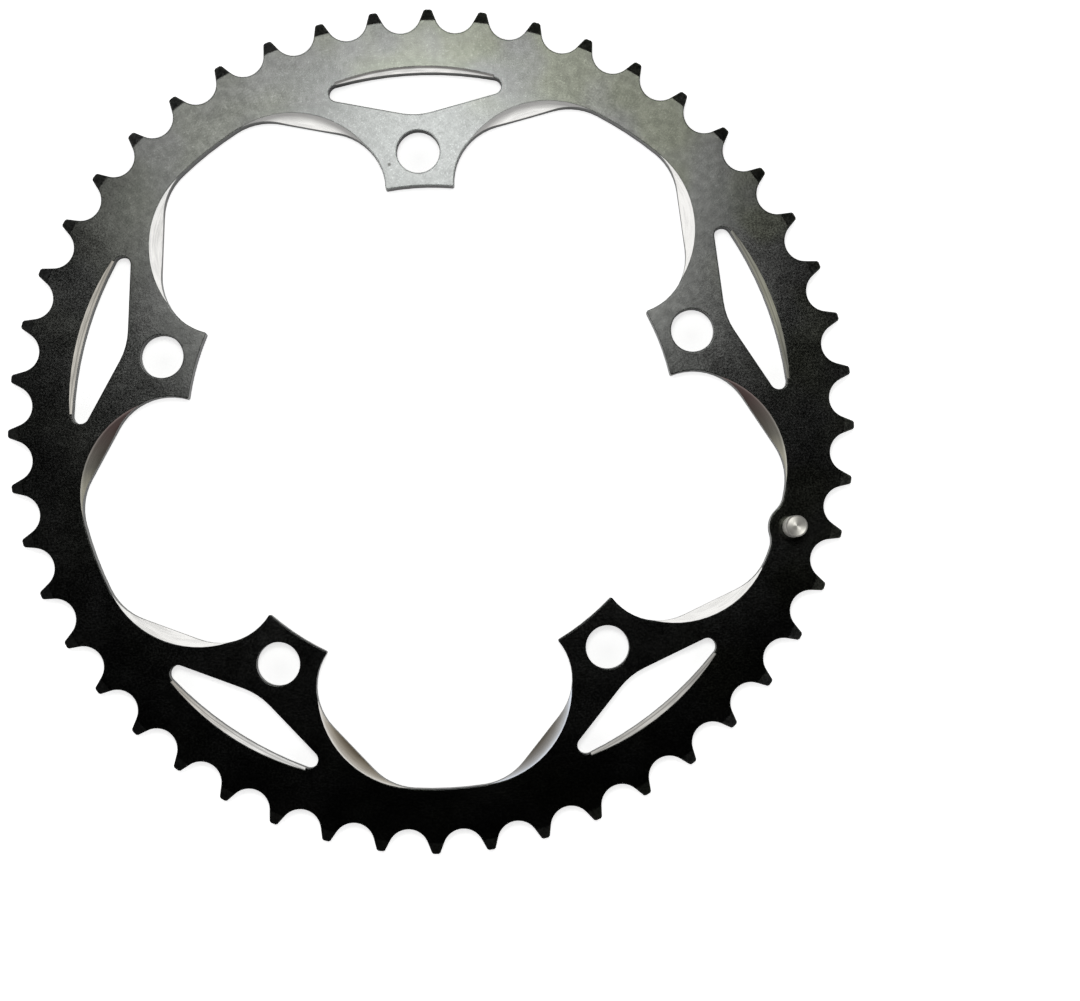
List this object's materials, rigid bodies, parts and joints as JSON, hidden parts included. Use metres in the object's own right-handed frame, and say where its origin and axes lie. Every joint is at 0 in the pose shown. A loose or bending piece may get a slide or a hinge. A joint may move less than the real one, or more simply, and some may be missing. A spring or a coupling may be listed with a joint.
{
  "type": "bicycle chainring",
  "caption": "Black outer bicycle chainring for a five-arm crank, with bright bevels in its cut-outs and a chain drop pin.",
  "frame": {"origin": "centre of the bolt circle, in the seating plane at the back of the ring", "axes": "+Z out of the outer face, +Y through the middle of the top tab, X to the right as the outer face is seen"},
  "size_m": [0.1968, 0.1968, 0.012],
  "materials": {
    "anodised_plate": "satin",
    "turned_pin": "brushed"
  },
  "bodies": {
    "root": {"chainring": "anodised_plate", "chain_drop_pin": "turned_pin"}
  },
  "joints": []
}
